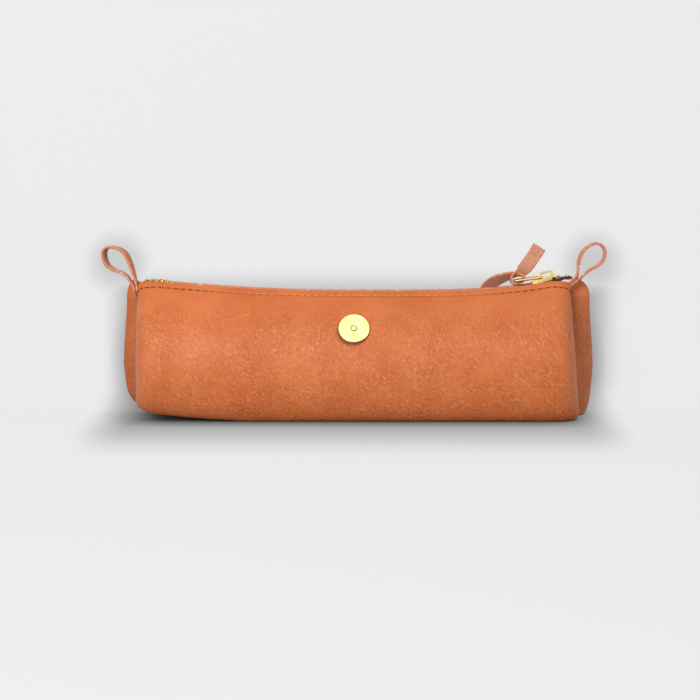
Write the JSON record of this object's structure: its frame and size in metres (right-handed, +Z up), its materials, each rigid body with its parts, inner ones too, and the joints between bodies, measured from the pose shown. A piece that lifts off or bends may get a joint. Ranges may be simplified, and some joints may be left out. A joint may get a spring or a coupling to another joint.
{
  "type": "pen case",
  "caption": "Soft tan leather pen case with a zip along its top, a leather thong on the brass pull, a leather loop at each end and a plain brass disc riveted to the front.",
  "frame": {"origin": "middle of the flat base, on the surface it stands on, under the disc", "axes": "+X along the case to the zip's closed end, -Y to the front with the disc, +Z up"},
  "size_m": [0.2468, 0.056, 0.0858],
  "materials": {
    "leather": "smooth grain, soft sheen",
    "strap_leather": "flesh side, matt",
    "brass": "polished",
    "tape": "woven, matt",
    "thread": "waxed thread"
  },
  "bodies": {
    "case": {"leather_body": "leather", "left_loop": "strap_leather", "right_loop": "strap_leather", "bottom_stop": "brass", "front_top_stop": "brass", "back_top_stop": "brass", "left_seam_thread": "thread", "right_seam_thread": "thread"},
    "front_wall": {"front_lip": "leather", "front_zip_tape": "tape", "front_zip_teeth": "brass", "front_topstitch": "thread", "badge_disc": "brass", "badge_rivet": "brass", "rivet_washer": "brass"},
    "back_wall": {"back_lip": "leather", "back_zip_tape": "tape", "back_zip_teeth": "brass", "back_topstitch": "thread"},
    "slider": {"slider_body": "brass", "slider_bridge": "brass"},
    "pull": {"pull_link": "brass", "pull_strap": "strap_leather"}
  },
  "joints": [
    {"name": "zip_slide", "type": "slide", "parent": "case", "child": "slider", "axis": [-0.9999, 0, -0.0164], "range_m": [0, 0.165]},
    {"name": "pull_swing", "type": "hinge", "parent": "slider", "child": "pull", "pos_m": [0.09143, 0, 0.06887], "axis": [0, 1, 0], "range_deg": [0, 75], "deforming": ["pull_strap"]},
    {"name": "front_lip_open", "type": "hinge", "parent": "case", "child": "front_wall", "pos_m": [0, -0.02702, 0.034], "axis": [1, 0, 0], "range_deg": [0, 30], "deforming": ["front_zip_tape", "front_zip_teeth"]},
    {"name": "back_lip_open", "type": "hinge", "parent": "case", "child": "back_wall", "pos_m": [0, 0.02702, 0.034], "axis": [-1, 0, 0], "range_deg": [0, 30], "deforming": ["back_zip_tape", "back_zip_teeth"]}
  ],
  "couplings": [
    {"joint": "front_lip_open", "follows": "zip_slide", "rad_per_m": 3.172},
    {"joint": "back_lip_open", "follows": "zip_slide", "rad_per_m": 3.172}
  ]
}
